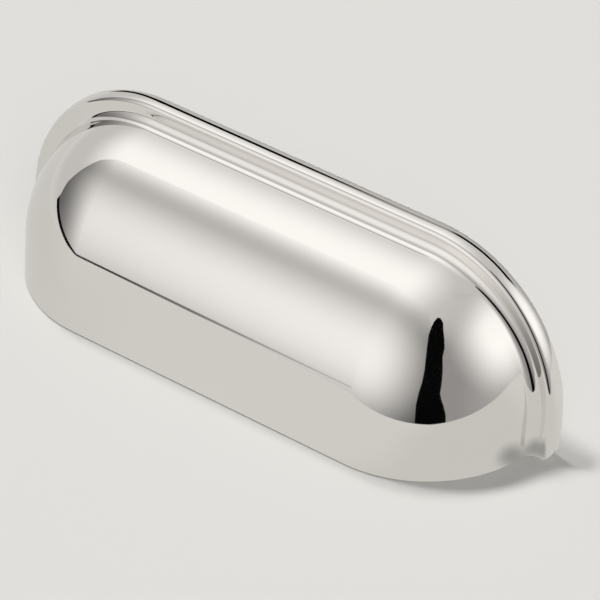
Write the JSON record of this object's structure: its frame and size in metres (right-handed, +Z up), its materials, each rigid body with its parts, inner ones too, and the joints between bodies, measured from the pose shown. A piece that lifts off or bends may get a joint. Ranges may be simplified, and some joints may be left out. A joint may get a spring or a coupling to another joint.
{
  "type": "cup pull",
  "caption": "Cup pull for a drawer: a hollow quarter-round metal hood with round corners on a moulded flange, open at the back and below for the fingers, fixed from behind.",
  "frame": {"origin": "midway between the two fixing holes, on the plane of the back face", "axes": "+X along the pull, +Y out of the back face into the drawer front, +Z up, with the hood towards -Y and its open rim facing down"},
  "size_m": [0.114, 0.0241, 0.0365],
  "materials": {
    "polished_nickel": "polished nickel, mirror bright"
  },
  "bodies": {
    "root": {"cup_pull": "polished_nickel"}
  },
  "joints": []
}
